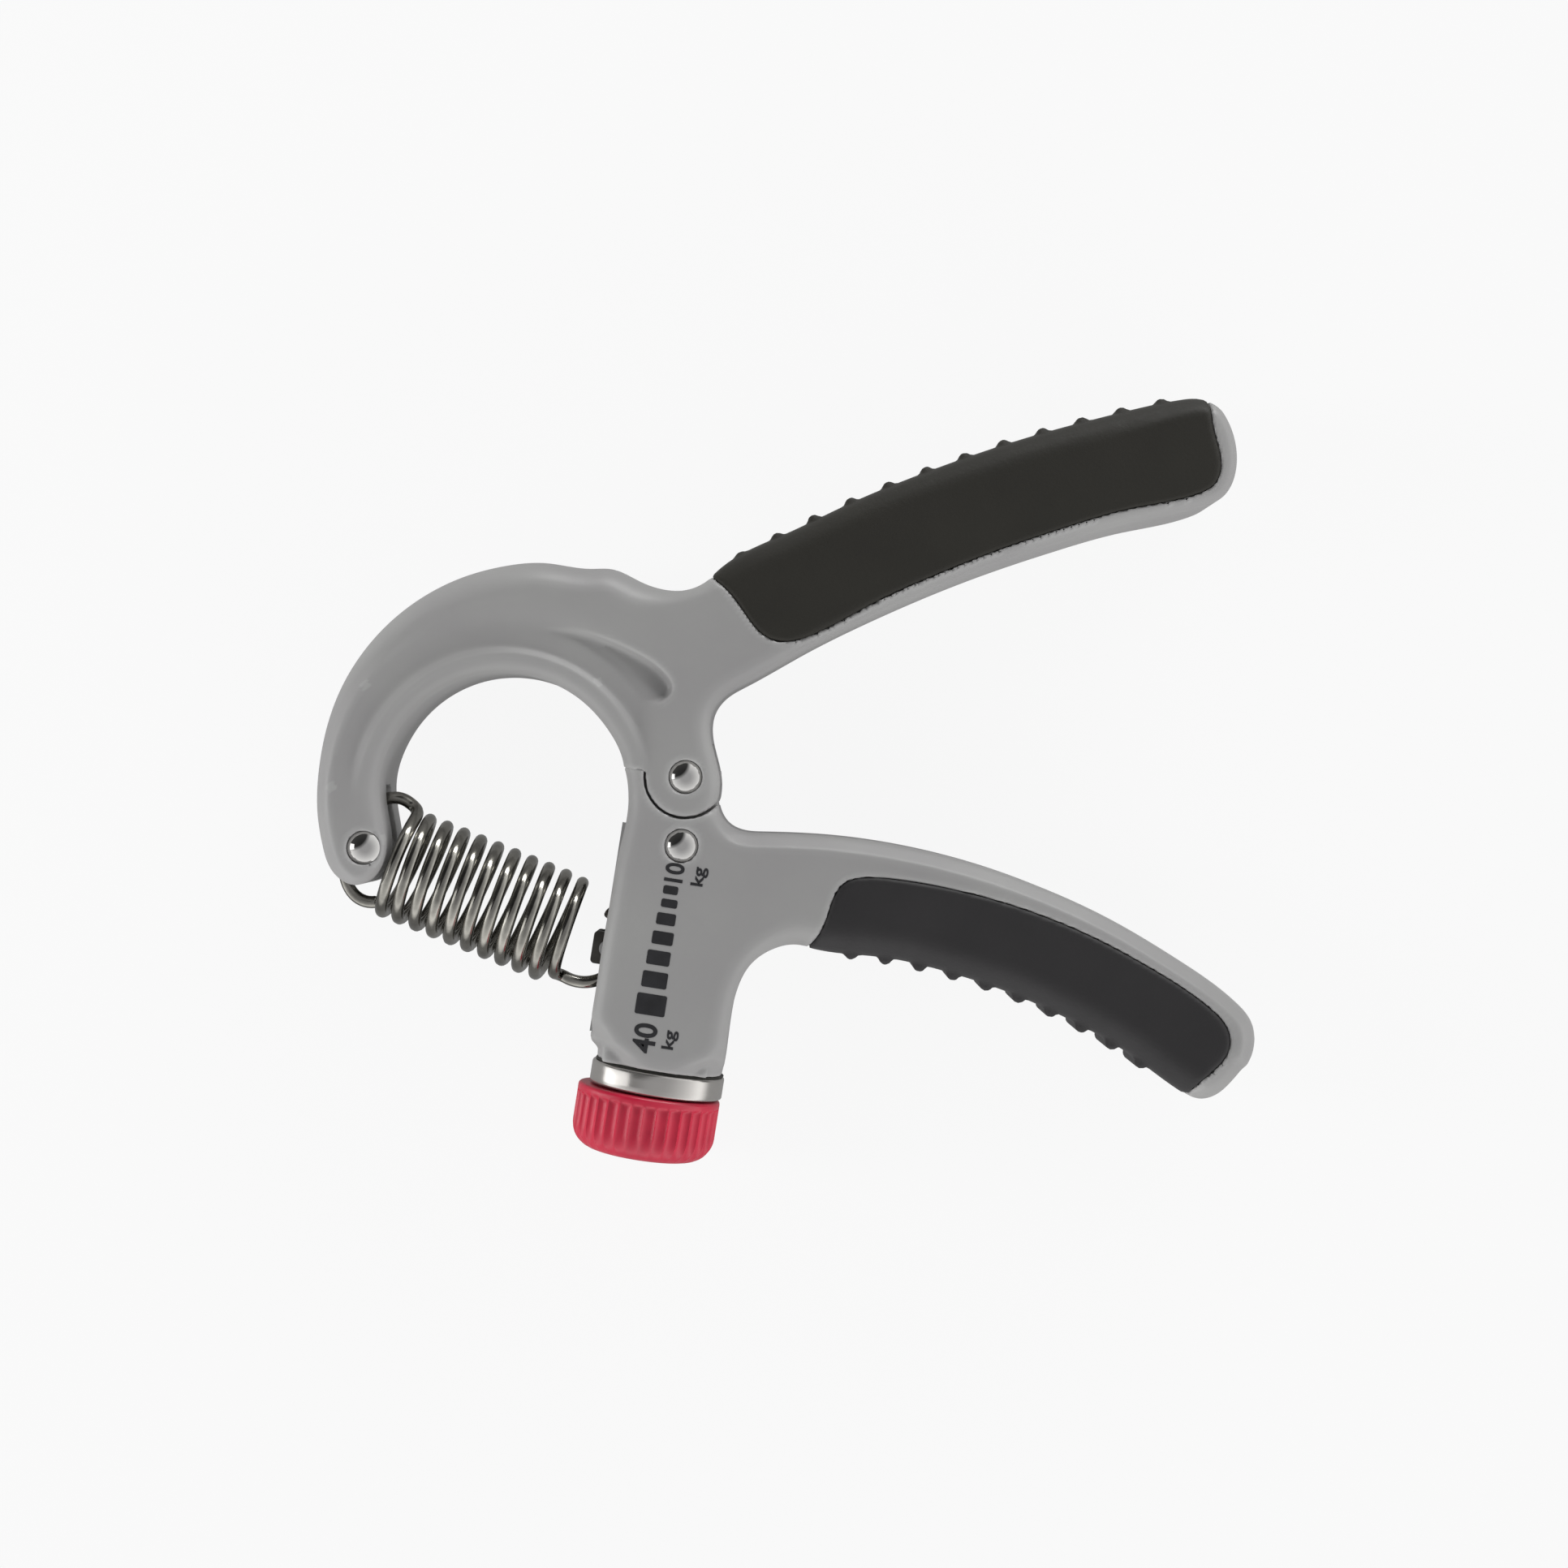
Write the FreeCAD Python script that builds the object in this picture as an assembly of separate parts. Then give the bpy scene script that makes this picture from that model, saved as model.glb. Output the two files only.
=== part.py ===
"""An adjustable hand grip: two curved handles hinged on a rivet, an extension spring between the upper
handle's hooked arm and a nut in the lower handle's barrel, and a knob whose screw moves that nut.

The grip lies flat. Everything is drawn about the hinge rivet, with the screw's axis along Y and the
handles' thickness along Z, and shifted by HINGE at the end. Lengths are in millimetres.
"""

import FreeCAD, Part
import math
import os

V = FreeCAD.Vector
X, Y, Z = V(1, 0, 0), V(0, 1, 0), V(0, 0, 1)

# Driving dimensions
HALF = 10.5            # half the thickness of handles, arm and barrel
HINGE = V(-16.6, -4.9, HALF)  # the hinge rivet's middle, in the row frame
RIM = 2.95             # rounding of the handles' long edges
SPLIT = 0.3            # height of the rest stop, where the upper handle's shoulder sits on the lower one

HUB_R = 5.7            # round cheeks of the upper handle at the hinge
HUB_GAP = 0.3          # clearance round the cheeks
TONGUE_R = 4.8         # the lower handle's tongue between the cheeks
TONGUE_HALF = 4.0
CHEEK_INNER = 4.6      # half the gap between the cheeks

RIVET_R = 1.5          # shank of the three rivets
RIVET_HEAD_R = 2.2
RIVET_SEAT_R = 2.55    # counterbore round a head
RIVET_SEAT_DEPTH = 1.3
ARM_RIVET = V(-43.4, -17.0, 0)
ANCHOR_RIVET = V(0.95, -9.7, 0)
BUSH_CLEARANCE = 0.06

SCREW_X = 1.6          # the screw's axis in the barrel
SCREW_R = 3.0
BARREL_END = -41.8
BARREL_X = 2.65        # middle of the barrel's turned end
BARREL_R = 9.3
COLLAR_X = 2.4         # the collar's rim is set off from the screw, which passes through its bore
COLLAR_R = 9.65
COLLAR_END = -45.4
KNOB_R = 10.35
KNOB_TOP = -45.7
KNOB_END = -55.2
KNOB_FLUTES = 36
SCREW_END = KNOB_TOP - 5.6   # the lead screw stops level with the end of the knob's insert

CHANNEL_OUT = 5.2      # half the outer width of the steel channel
CHANNEL_WALL = 0.8
CHANNEL_LEFT, CHANNEL_RIGHT = -8.05, 7.0
CHANNEL_TOP, CHANNEL_BOTTOM = -7.8, -38.0
NUT_Y = -26.2
NUT_HALF = V(4.5, 3.5, 4.2)
NUT_EAR_X = -9.7
NUT_EAR_HALF = 2.35
NUT_EAR_INNER, NUT_EAR_OUTER = 1.25, 3.0
CROSS_PIN = V(-7.5, NUT_Y, 0)
CROSS_PIN_R = 1.2

WIRE_R = 0.9
SPRING_ANGLE = -13.1   # the coils' axis, which passes beside both pins
COIL_R = 7.45          # mean radius of the coils
COIL_START = 4.75      # along the coils' axis, from the arm rivet
COIL_OFFSET = -0.85    # the axis' distance from the arm rivet
COIL_PITCH = 2.66
COIL_TURNS = 10
CLOSED_PITCH = 0.8     # pitch of the closed half turn between the loop and the first coil
TAIL_TURN = 0.25       # the part of the last turn that belongs to the nut's hook
LOOP_LONG, LOOP_WIDE = 5.2, 7.9  # the loop round the arm bush, half its size along the coils and across
LOOP_FROM, LOOP_TO = 80, 290
HOOK_R = 5.7
HOOK_CENTRE_T = -1.5
HOOK_FROM, HOOK_TO = 250, 432
ARM_BUSH_R = 2.85
FORK_HALF = 2.0        # half the gap in the arm's forked end

RIB_R = 0.95
RIB_HALF = 7.0


# Outlines: points in order, with round stretches worked out by these two

def arc_points(centre, radius, start_deg, end_deg, count):
    angles = [math.radians(start_deg + (end_deg - start_deg) * i / (count - 1)) for i in range(count)]
    return [(centre[0] + radius * math.cos(a), centre[1] + radius * math.sin(a)) for a in angles]


def bow(start, end, bulge, count, first=0.0, last=1.0):
    """Points on the circular arc from start to end that rises bulge to the left of its chord."""
    dx, dy = end[0] - start[0], end[1] - start[1]
    chord = math.hypot(dx, dy)
    radius = (chord ** 2 / 4 + bulge ** 2) / (2 * bulge)
    half_angle = math.asin(chord / 2 / radius)
    points = []
    for i in range(count):
        angle = half_angle * (2 * (first + (last - first) * i / (count - 1)) - 1)
        along = radius * math.sin(angle) + chord / 2
        rise = bulge - radius * (1 - math.cos(angle))
        points.append((start[0] + (dx * along - dy * rise) / chord, start[1] + (dy * along + dx * rise) / chord))
    return points


UPPER_BACK = ((61.5, 64.1), (0.4, 30.2), -2.85)      # the upper grip's outer edge
LOWER_BACK = ((22.0, -21.3), (77.0, -33.3), 4.3)     # the lower grip's outer edge
HOLE = (-25.1, -7.0, 17.7)                          # the round hole inside the arm

UPPER_OUTLINE = (
    [(-5.0, -7.0), (0.0, -7.6), (4.0, -5.5), (5.0, -2.2), (4.7, 0.6), (3.4, 4.0), (2.3, 7.2), (2.3, 9.8), (3.6, 12.3)]
    + bow((6.2, 14.5), (66.6, 49.4), 2.9, 8)
    + [(69.3, 51.5), (70.3, 55.0), (69.7, 58.8), (67.9, 62.2), (65.6, 64.2), (63.2, 64.5)]
    + bow(*UPPER_BACK[:2], UPPER_BACK[2], 8)
    + [(-1.5, 27.9), (-4.0, 26.3), (-7.2, 25.9), (-11.0, 26.6), (-15.2, 27.7)]
    + arc_points((-20.45, -4.35), 31.7, 86, 176, 9)
    + [(-52.1, -8.0), (-51.3, -13.5), (-49.9, -17.8), (-48.4, -20.7)]
    + [(-46.6, -22.2), (-43.9, -22.5), (-41.6, -21.0), (-40.5, -18.4), (-40.7, -15.2), (-41.7, -12.0)]
    + arc_points(HOLE[:2], HOLE[2], 181, 25, 10)
    + [(-8.0, -3.4)]
)

LOWER_OUTLINE = (
    arc_points(HOLE[:2], HOLE[2], 28, 4, 4)
    + [(-7.75, -12.0), (-7.9, -19.0), (-8.0, -26.0), (-7.95, -32.0)]
    + [(-7.95, -36.0), (-7.8, -39.0), (-7.5, -42.0), (-6.5, -47.0), (1.6, -50.0), (9.8, -47.0)]
    + [(11.6, -42.0), (11.65, -37.0), (11.6, -32.0), (12.0, -28.2), (13.3, -24.8), (16.0, -22.3), (19.0, -21.2)]
    + bow(*LOWER_BACK[:2], LOWER_BACK[2], 7)
    + [(79.3, -33.9), (81.5, -33.1), (83.6, -30.7), (85.3, -27.4), (85.6, -24.4), (84.6, -21.6)]
    + bow((82.3, -19.5), (12.0, -6.2), -6.2, 8)
    + [(9.2, -6.4), (6.9, -5.7), (5.4, -4.0), (4.5, -1.0), (4.2, 3.0), (2.5, 8.0), (-2.5, 10.8), (-7.4, 9.4), (-10.0, 5.6)]
)

UPPER_GRIP_OUTLINE = (
    bow((14.5, 22.6), (65.6, 51.0), 2.2, 7)
    + [(67.3, 52.4), (67.9, 54.8), (67.0, 58.0), (65.6, 61.4), (64.0, 66.0), (60.0, 68.0)]
    + [(45.0, 62.0), (20.0, 50.0), (0.0, 36.0), (-3.0, 31.5), (-1.6, 29.3), (1.6, 27.0), (4.2, 24.6), (6.4, 22.4)]
    + [(8.8, 21.1), (11.6, 21.2)]
)

LOWER_GRIP_OUTLINE = (
    [(17.6, -24.8), (20.0, -22.1), (21.6, -20.0), (22.6, -17.4), (23.2, -14.0), (24.5, -11.3), (27.4, -10.0)]
    + bow((31.4, -9.6), (78.4, -20.7), 3.2, 6)
    + [(81.0, -22.9), (81.9, -25.3), (81.0, -28.2), (78.7, -31.2), (76.8, -34.4), (74.0, -37.0)]
    + [(60.0, -31.0), (40.0, -27.0), (22.0, -27.0)]
)

# The crescent pocket in the arm's two faces, above the hole's flange
POCKET_OUTLINE = (
    [(-23.5, 17.9)]
    + bow((-20.0, 18.3), (-5.6, 14.2), 1.0, 4)
    + [(-4.6, 12.4), (-5.6, 10.4), (-7.4, 9.9)]
    + bow((-9.0, 11.0), (-20.5, 17.4), -1.2, 4)
)


# Solids

def closed_face(points):
    curve = Part.BSplineCurve()
    curve.interpolate(Points=[V(x, y, 0) for x, y in points], PeriodicFlag=True)
    return Part.Face(Part.Wire(curve.toShape()))


def slab(points, half, low=None):
    """The outline's prism from low to half, or from -half where low isn't given."""
    low = -half if low is None else low
    face = closed_face(points)
    face.translate(V(0, 0, low))
    return face.extrude(V(0, 0, half - low))


def rounded_slab(points, half, radius):
    solid = slab(points, half)
    rims = [e for e in solid.Edges if abs(abs(e.BoundBox.Center.z) - half) < 1e-3 and e.BoundBox.ZLength < 1e-3]
    return solid.makeFillet(radius, rims)


def pillar(place, radius, half, low=None):
    """A cylinder along Z."""
    low = -half if low is None else low
    return Part.makeCylinder(radius, half - low, V(place.x, place.y, low), Z)


def rod(radius, y_from, y_to, x=SCREW_X):
    """A cylinder along Y, on the screw's axis unless x is given."""
    low, high = sorted((y_from, y_to))
    return Part.makeCylinder(radius, high - low, V(x, low, 0), Y)


def block(x, y, z):
    return Part.makeBox(x[1] - x[0], y[1] - y[0], z[1] - z[0], V(x[0], y[0], z[0]))


def mirrored(solid):
    """The solid and its mirror image below the middle plane."""
    return solid.fuse(solid.mirror(V(0, 0, 0), Z))


def rivet_hole(place):
    seat = pillar(place, RIVET_SEAT_R, HALF + 1, HALF - RIVET_SEAT_DEPTH)
    return pillar(place, RIVET_R + BUSH_CLEARANCE, HALF + 1).fuse(mirrored(seat))


def rivet(place, flip):
    """One half of a two-part rivet: a domed head, and a shank that reaches the middle."""
    seat = HALF - RIVET_SEAT_DEPTH
    dome_rise = 0.75
    dome_r = (RIVET_HEAD_R ** 2 + dome_rise ** 2) / (2 * dome_rise)
    head = pillar(place, RIVET_HEAD_R, seat + 1.15, seat)
    dome = Part.makeSphere(dome_r, V(place.x, place.y, seat + 1.15 - dome_r))
    solid = head.common(dome).fuse(pillar(place, RIVET_R, seat + 0.1, 0.0)).removeSplitter()
    return solid.mirror(V(0, 0, 0), Z) if flip else solid


def grip_core(region, back, inset, half):
    """The handle's tongue inside a rubber grip: the grip's region, kept inset from its outer edge."""
    start, end, bulge = back
    dx, dy = end[0] - start[0], end[1] - start[1]
    chord = math.hypot(dx, dy)
    side = 1 if bulge < 0 else -1
    shift = (-dy / chord * inset * side, dx / chord * inset * side)
    edge = [(x + shift[0], y + shift[1]) for x, y in bow(start, end, bulge, 9)]
    far = [(x + shift[0] * 6, y + shift[1] * 6) for x, y in reversed(edge)]
    wire = Part.makePolygon([V(x, y, -half) for x, y in edge + far + edge[:1]])
    return Part.Face(wire).extrude(V(0, 0, 2 * half)).common(slab(region, half))


def ribs(back, count, first, last, sink):
    start, end, bulge = back
    spots = bow(start, end, bulge, count, first, last)
    dx, dy = end[0] - start[0], end[1] - start[1]
    chord = math.hypot(dx, dy)
    side = 1 if bulge < 0 else -1
    inward = (-dy / chord * sink * side, dx / chord * sink * side)
    solids = []
    for x, y in spots:
        place = V(x + inward[0], y + inward[1], 0)
        solids.append(pillar(place, RIB_R, RIB_HALF))
    return solids


def body_and_grip(blank, grip_outline, back, rib_layout):
    """Splits a handle blank into its plastic and its rubber grip, which meet face to face."""
    skin, core_half = 2.4, HALF - 2.2
    region = slab(grip_outline, HALF + 1)
    core = grip_core(grip_outline, back, skin, core_half)
    grip = blank.common(region).cut(core)
    plastic = blank.cut(region).fuse(core.common(blank))
    for rib in ribs(back, *rib_layout):
        grip = grip.fuse(rib)
    return plastic, grip


def upper_handle_and_grip():
    blank = rounded_slab(UPPER_OUTLINE, HALF, RIM)
    below = block((-20, 30), (-30, SPLIT), (-HALF - 1, HALF + 1)).cut(pillar(V(0, 0, 0), HUB_R, HALF + 2))
    below = below.cut(block((-60, -20), (-40, 1), (-20, 20)))
    blank = blank.cut(below)
    plastic, grip = body_and_grip(blank, UPPER_GRIP_OUTLINE, UPPER_BACK, (12, 0.045, 0.955, 0.1))
    plastic = plastic.cut(pillar(V(0, 0, 0), HUB_R + 0.1, CHEEK_INNER))
    plastic = plastic.cut(block((-60, -36), (-30, -8.0), (-FORK_HALF, FORK_HALF)))
    plastic = plastic.cut(mirrored(slab(POCKET_OUTLINE, HALF + 1, HALF - 0.9)))
    for place in (V(0, 0, 0), ARM_RIVET):
        plastic = plastic.cut(rivet_hole(place))
    return plastic, grip


def barrel_turning():
    """What the turned lower end of the barrel takes off, with a flare that runs out into the handle."""
    y_low, y_flare, y_top = BARREL_END - 12, -39.9, -34.0
    keep = rod(BARREL_R, y_low, y_flare, BARREL_X).fuse(
        Part.makeCone(BARREL_R, 16.0, y_top - y_flare, V(BARREL_X, y_flare, 0), Y)
    )
    return block((-16, 20), (y_low, y_top), (-16, 16)).cut(keep)


def lower_handle_and_grip():
    blank = rounded_slab(LOWER_OUTLINE, HALF, RIM)
    blank = blank.cut(barrel_turning())
    blank = blank.cut(block((-30, 30), (-60, BARREL_END), (-20, 20)))
    blank = blank.cut(block((-30, 30), (0, 20), (-20, 20)))
    recess = pillar(V(0, 0, 0), HUB_R + HUB_GAP, HALF + 1, TONGUE_HALF)
    blank = blank.cut(mirrored(recess))
    plastic, grip = body_and_grip(blank, LOWER_GRIP_OUTLINE, LOWER_BACK, (10, 0.09, 0.87, 0.1))
    plastic = plastic.fuse(pillar(V(0, 0, 0), TONGUE_R, TONGUE_HALF))
    room = block((CHANNEL_LEFT - 2, CHANNEL_RIGHT), (BARREL_END - 1, CHANNEL_TOP), (-CHANNEL_OUT, CHANNEL_OUT))
    plastic = plastic.cut(room)
    foot = block((CHANNEL_LEFT - 2, CHANNEL_LEFT + 4), (BARREL_END, CHANNEL_BOTTOM), (-CHANNEL_OUT, CHANNEL_OUT))
    closed = slab(LOWER_OUTLINE, HALF).common(foot).cut(barrel_turning())
    plastic = plastic.fuse(closed)
    plastic = plastic.cut(pillar(V(0, 0, 0), RIVET_R + 1.0, TONGUE_HALF + 1))
    return plastic.cut(rivet_hole(ANCHOR_RIVET)), grip


def guide_channel():
    outside = block((CHANNEL_LEFT, CHANNEL_RIGHT), (CHANNEL_BOTTOM, CHANNEL_TOP), (-CHANNEL_OUT, CHANNEL_OUT))
    inner = CHANNEL_OUT - CHANNEL_WALL
    inside = block((CHANNEL_LEFT - 1, CHANNEL_RIGHT - CHANNEL_WALL), (CHANNEL_BOTTOM - 1, CHANNEL_TOP + 1), (-inner, inner))
    return outside.cut(inside).cut(pillar(ANCHOR_RIVET, RIVET_R + BUSH_CLEARANCE, HALF))


def pivot_bush():
    return pillar(V(0, 0, 0), RIVET_R + 1.0, TONGUE_HALF).cut(pillar(V(0, 0, 0), RIVET_R + BUSH_CLEARANCE, HALF))


def pivot_washers():
    washer = pillar(V(0, 0, 0), 4.4, CHEEK_INNER - 0.1, TONGUE_HALF)
    washer = washer.cut(pillar(V(0, 0, 0), RIVET_R + BUSH_CLEARANCE, HALF))
    return Part.Compound([washer, washer.mirror(V(0, 0, 0), Z)])


def arm_bush():
    sleeve = pillar(ARM_RIVET, ARM_BUSH_R, FORK_HALF - 0.1)
    return sleeve.cut(pillar(ARM_RIVET, RIVET_R + BUSH_CLEARANCE, HALF))


def screw_top_bush():
    """The block across the channel's top that carries the screw's pilot."""
    inner = CHANNEL_OUT - CHANNEL_WALL
    solid = block((SCREW_X - 4.0, SCREW_X + 4.4), (-14.6, -11.6), (-inner, inner))
    return solid.cut(rod(1.85, -15, -11))


def end_plug():
    """The bush that closes the barrel's end, carries the screw and centres the collar."""
    body = block((CHANNEL_LEFT + 4, CHANNEL_RIGHT), (BARREL_END, CHANNEL_BOTTOM), (-CHANNEL_OUT, CHANNEL_OUT))
    spigot = rod(5.0, COLLAR_END, BARREL_END)
    return body.fuse(spigot).cut(rod(SCREW_R + BUSH_CLEARANCE, COLLAR_END - 1, CHANNEL_BOTTOM + 1)).removeSplitter()


def end_collar():
    ring = rod(COLLAR_R, COLLAR_END, BARREL_END, COLLAR_X)
    rims = [e for e in ring.Edges if e.Closed]
    return ring.makeChamfer(0.35, rims).cut(rod(5.0, COLLAR_END - 1, BARREL_END + 1))


def lead_screw():
    """The screw, its pilot in the top bush, the clip's groove and the flats that turn with the knob."""
    thread = rod(SCREW_R, COLLAR_END - 0.3, -14.8)
    pilot = rod(1.8, -14.8, -11.9)
    groove = rod(SCREW_R + 1, -37.7, -37.0).cut(rod(SCREW_R - 0.6, -39, -36))
    shank = rod(SCREW_R, SCREW_END, COLLAR_END - 0.3)
    flats = block((SCREW_X - 2.3, SCREW_X + 2.3), (SCREW_END, KNOB_TOP), (-5, 5))
    solid = thread.cut(groove).fuse(pilot).fuse(shank.common(flats.fuse(rod(SCREW_R, KNOB_TOP, COLLAR_END - 0.3))))
    return solid.cut(rod(1.1, KNOB_END, KNOB_END + 7.0)).removeSplitter()


def retaining_clip():
    """The E-clip in the screw's groove, above the end plug."""
    ring = rod(4.2, -37.6, -37.1).cut(rod(SCREW_R - 0.6, -39, -36))
    return ring.cut(block((SCREW_X - 1.6, SCREW_X + 1.6), (-39, -36), (0, 8)))


def slide_nut():
    """The nut's block, with two ears that reach out through the slot."""
    body = block(
        (SCREW_X - NUT_HALF.x, SCREW_X + NUT_HALF.x), (NUT_Y - NUT_HALF.y, NUT_Y + NUT_HALF.y), (-NUT_HALF.z, NUT_HALF.z)
    )
    ear = block(
        (NUT_EAR_X, SCREW_X - NUT_HALF.x), (NUT_Y - NUT_EAR_HALF, NUT_Y + NUT_EAR_HALF), (NUT_EAR_INNER, NUT_EAR_OUTER)
    )
    corners = [e for e in ear.Edges if e.BoundBox.XLength < 1e-3 and e.BoundBox.YLength < 1e-3 and e.BoundBox.XMin < -9]
    solid = body.fuse(mirrored(ear.makeFillet(0.6, corners)))
    solid = solid.cut(pillar(CROSS_PIN, CROSS_PIN_R + 0.01, HALF))
    return solid.cut(rod(SCREW_R + BUSH_CLEARANCE, NUT_Y - 9, NUT_Y + 9)).removeSplitter()


def adjusting_knob():
    """A fluted cap with a socket for the insert and a recess for the end screw."""
    body = rod(KNOB_R, KNOB_END, KNOB_TOP)
    end_rim = [e for e in body.Edges if e.Closed and abs(e.BoundBox.Center.y - KNOB_END) < 1e-3]
    top_rim = [e for e in body.Edges if e.Closed and abs(e.BoundBox.Center.y - KNOB_TOP) < 1e-3]
    body = body.makeFillet(3.0, end_rim)
    top_rim = [e for e in body.Edges if e.Closed and abs(e.BoundBox.Center.y - KNOB_TOP) < 1e-3]
    body = body.makeChamfer(0.3, top_rim)
    flutes = []
    for i in range(KNOB_FLUTES):
        angle = 2 * math.pi * i / KNOB_FLUTES
        radius = KNOB_R + 0.35
        place = V(SCREW_X + radius * math.cos(angle), KNOB_END + 1.6, radius * math.sin(angle))
        flutes.append(Part.makeCylinder(0.65, KNOB_TOP - 0.9 - KNOB_END - 1.6, place, Y))
    body = body.cut(Part.Compound(flutes))
    body = body.cut(rod(5.0, KNOB_TOP - 5.9, KNOB_TOP + 1))
    return body.cut(rod(3.2, KNOB_END - 1, KNOB_END + 1.6)).cut(rod(1.3, KNOB_END - 1, KNOB_TOP))


def knob_insert():
    """The brass insert pressed into the knob, with a bore that fits the screw's flats."""
    flats = block((SCREW_X - 2.35, SCREW_X + 2.35), (KNOB_TOP - 7, KNOB_TOP + 1), (-5, 5))
    bore = rod(SCREW_R + 0.02, KNOB_TOP - 7, KNOB_TOP + 1).common(flats)
    return rod(5.0, KNOB_TOP - 5.7, KNOB_TOP).cut(bore)


def knob_screw():
    head = rod(2.9, KNOB_END + 0.35, KNOB_END + 1.6)
    slot = block((SCREW_X - 0.4, SCREW_X + 0.4), (KNOB_END, KNOB_END + 0.9), (-5, 5))
    return head.cut(slot).fuse(rod(1.1, KNOB_END + 1.5, KNOB_END + 6.5)).removeSplitter()


# The spring, drawn along +X from the arm rivet and then turned into place

PIN_REACH = FreeCAD.Rotation(Z, -SPRING_ANGLE).multVec(CROSS_PIN - ARM_RIVET)
LOOP_CENTRE = V(LOOP_LONG - WIRE_R - ARM_BUSH_R - 0.02, 0, 0)
HOOK_SIT = HOOK_R - WIRE_R - CROSS_PIN_R - 0.05
HOOK_CENTRE = V(PIN_REACH.x - math.sqrt(HOOK_SIT ** 2 - (HOOK_CENTRE_T - PIN_REACH.y) ** 2), HOOK_CENTRE_T, 0)

LOOP_END = LOOP_CENTRE + V(*[
    half * turn(math.radians(LOOP_FROM)) for half, turn in ((LOOP_LONG, math.cos), (LOOP_WIDE, math.sin))
], 0)
HOOK_START = HOOK_CENTRE + V(HOOK_R * math.cos(math.radians(HOOK_FROM)), HOOK_R * math.sin(math.radians(HOOK_FROM)), 0)
COIL_FOOT = V(COIL_START, COIL_OFFSET - COIL_R, 0)
COIL_HEAD = V(COIL_START - CLOSED_PITCH / 2, COIL_OFFSET + COIL_R, 0)
COIL_TAIL = COIL_FOOT + V(COIL_PITCH * COIL_TURNS, 0, 0)


def wire_arc(centre, along, across, start_deg, end_deg):
    """Spring wire in the middle plane, on part of an ellipse with these half sizes."""
    angles = [math.radians(start_deg + (end_deg - start_deg) * i / 12) for i in range(13)]
    curve = Part.BSplineCurve()
    curve.interpolate([centre + V(along * math.cos(a), across * math.sin(a), 0) for a in angles])
    start, way = curve.getD1(curve.FirstParameter)
    disc = Part.Wire(Part.makeCircle(WIRE_R, start, way))
    return Part.Wire(curve.toShape()).makePipeShell([disc], True, False)


def coil(turns, first_turn, pitch=COIL_PITCH):
    """Spring wire along the helix from first_turn, where turn 0 starts at the bottom of the middle plane."""
    helix = Part.makeHelix(pitch, pitch * turns, COIL_R)
    rise = pitch / (2 * math.pi)
    disc = Part.Wire(Part.makeCircle(WIRE_R, V(COIL_R, 0, 0), V(0, COIL_R, rise)))
    solid = Part.Wire(helix).makePipeShell([disc], True, True)
    solid.rotate(V(0, 0, 0), Z, 360 * first_turn)
    solid.rotate(V(0, 0, 0), Y, 90)
    solid.rotate(V(0, 0, 0), X, -90)
    solid.translate(V(COIL_START + pitch * first_turn, COIL_OFFSET, 0))
    return solid


def in_place(solid):
    solid.rotate(V(0, 0, 0), Z, SPRING_ANGLE)
    solid.translate(ARM_RIVET)
    return solid


def bridge_wire(start, end):
    """A short straight of wire with ball ends, between the ends of two bends."""
    way = end - start
    straight = Part.makeCylinder(WIRE_R, way.Length, start, way)
    return straight.fuse(Part.makeSphere(WIRE_R + 0.02, start)).fuse(Part.makeSphere(WIRE_R + 0.02, end))


def tension_spring():
    """The loop round the arm bush and the coils, as one wire."""
    loop = wire_arc(LOOP_CENTRE, LOOP_LONG, LOOP_WIDE, LOOP_FROM, LOOP_TO)
    coils = coil(COIL_TURNS - TAIL_TURN, 0)
    closed = coil(0.5, -0.5, CLOSED_PITCH).fuse(Part.makeSphere(WIRE_R + 0.02, COIL_FOOT))
    return in_place(coils.fuse(closed).fuse(bridge_wire(LOOP_END, COIL_HEAD)).fuse(loop))


def spring_nut_hook():
    """The end of the last turn, and the hook that it makes round the nut's cross pin."""
    hook = wire_arc(HOOK_CENTRE, HOOK_R, HOOK_R, HOOK_FROM, HOOK_TO)
    last = coil(TAIL_TURN, COIL_TURNS - TAIL_TURN)
    return in_place(last.fuse(bridge_wire(COIL_TAIL, HOOK_START)).fuse(hook))


def parts():
    upper, upper_rubber = upper_handle_and_grip()
    lower, lower_rubber = lower_handle_and_grip()
    return {
        "upper_handle": upper,
        "upper_grip": upper_rubber,
        "lower_handle": lower,
        "lower_grip": lower_rubber,
        "pivot_rivet": rivet(V(0, 0, 0), False),
        "pivot_rivet_cap": rivet(V(0, 0, 0), True),
        "arm_rivet": rivet(ARM_RIVET, False),
        "arm_rivet_cap": rivet(ARM_RIVET, True),
        "anchor_rivet": rivet(ANCHOR_RIVET, False),
        "anchor_rivet_cap": rivet(ANCHOR_RIVET, True),
        "pivot_bush": pivot_bush(),
        "pivot_washers": pivot_washers(),
        "arm_bush": arm_bush(),
        "tension_spring": tension_spring(),
        "spring_nut_hook": spring_nut_hook(),
        "guide_channel": guide_channel(),
        "slide_nut": slide_nut(),
        "nut_cross_pin": pillar(CROSS_PIN, CROSS_PIN_R, NUT_EAR_OUTER),
        "lead_screw": lead_screw(),
        "screw_top_bush": screw_top_bush(),
        "retaining_clip": retaining_clip(),
        "end_plug": end_plug(),
        "end_collar": end_collar(),
        "adjusting_knob": adjusting_knob(),
        "knob_insert": knob_insert(),
        "knob_screw": knob_screw(),
    }


def main():
    os.makedirs("parts", exist_ok=True)
    for name, shape in parts().items():
        shape.translate(HINGE)
        shape.exportStep(f"parts/{name}.step")
        print(name, shape.isValid(), len(shape.Solids), round(shape.Volume, 1))


main()
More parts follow.
